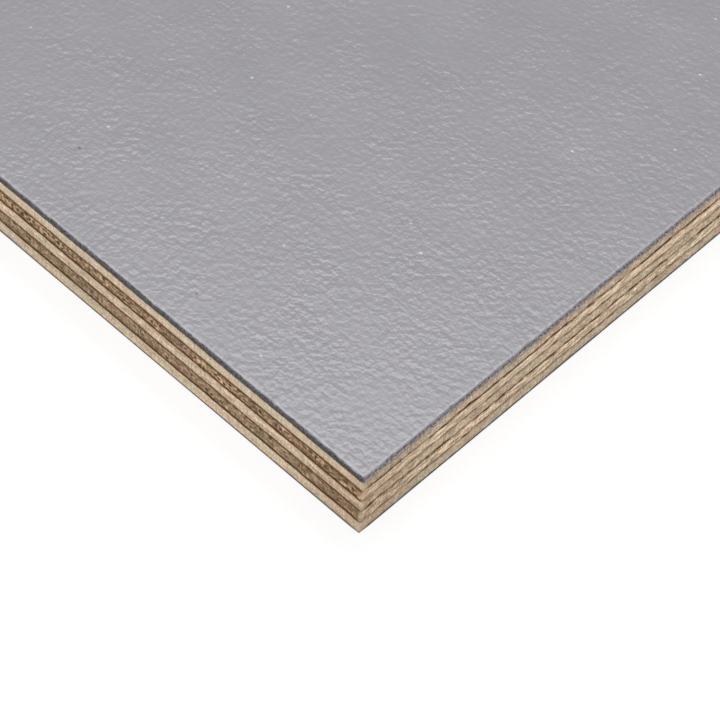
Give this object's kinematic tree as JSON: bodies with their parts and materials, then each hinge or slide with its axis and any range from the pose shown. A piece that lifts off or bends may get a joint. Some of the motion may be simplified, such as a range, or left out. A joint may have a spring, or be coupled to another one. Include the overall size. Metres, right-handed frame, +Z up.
{
  "type": "laminate-faced plywood sheet",
  "caption": "Flat rectangular plywood sheet with a grained grey plastic laminate face, crossed veneers showing on its sawn edges and a thin dark foil on its underside.",
  "frame": {"origin": "middle of the underside, on the surface that the sheet lies on", "axes": "+X along the sheet's length and the grain of its face veneer, +Y across its width, +Z up, out of the grey laminate face"},
  "size_m": [0.6, 0.3, 0.0075],
  "materials": {
    "laminate": "satin, fine pebbled grain",
    "long_grain_veneer": "sawn birch, pale",
    "cross_grain_veneer": "sawn birch, brown end grain",
    "backing_foil": "smooth, dark, low sheen"
  },
  "bodies": {
    "root": {"laminate": "laminate", "face_veneer": "long_grain_veneer", "upper_cross_veneer": "cross_grain_veneer", "core_veneer": "long_grain_veneer", "lower_cross_veneer": "cross_grain_veneer", "back_veneer": "long_grain_veneer", "backing_foil": "backing_foil"}
  },
  "joints": []
}
